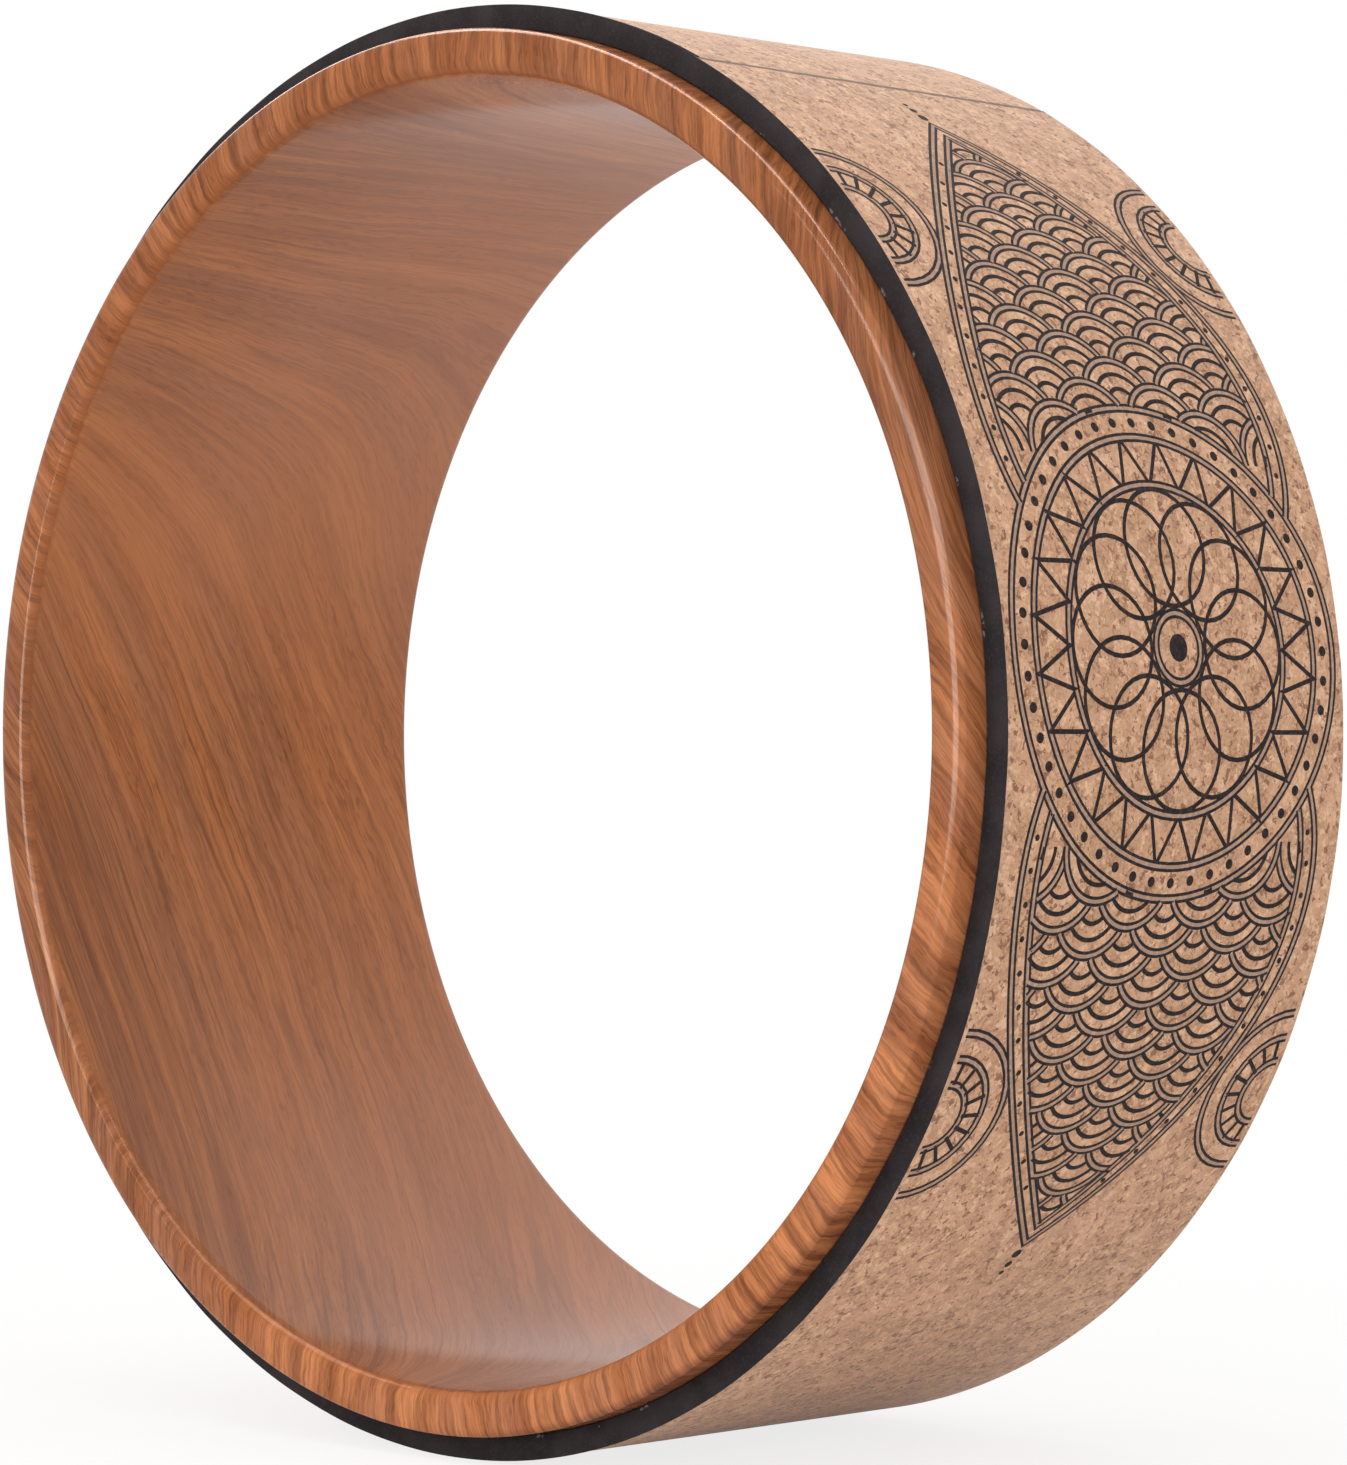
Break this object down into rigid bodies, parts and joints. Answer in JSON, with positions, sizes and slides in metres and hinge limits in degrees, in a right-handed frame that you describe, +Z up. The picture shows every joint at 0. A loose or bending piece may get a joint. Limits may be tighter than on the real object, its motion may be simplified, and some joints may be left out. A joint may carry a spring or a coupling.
{
  "type": "yoga wheel",
  "caption": "Open hoop of wood-look plastic with a padded cork tread, rolled under the back or held in balance and stretching exercises.",
  "frame": {"origin": "centre of the wheel, on its axis and midway between its two side faces", "axes": "+Y along the wheel's axis towards its back face, +Z up as it stands on its tread, +X to the right"},
  "size_m": [0.33, 0.129, 0.33],
  "materials": {
    "wood_look_lacquer": "reddish wood-grain print under clear gloss lacquer",
    "adhesive": "dark amber adhesive film",
    "foam": "matte black closed-cell foam with cut edges",
    "cork": "fine agglomerated cork with dark printed line ornament"
  },
  "bodies": {
    "root": {"hoop": "wood_look_lacquer", "pad_film": "adhesive", "foam_pad": "foam", "cover_film": "adhesive", "cork_cover": "cork"}
  },
  "joints": []
}
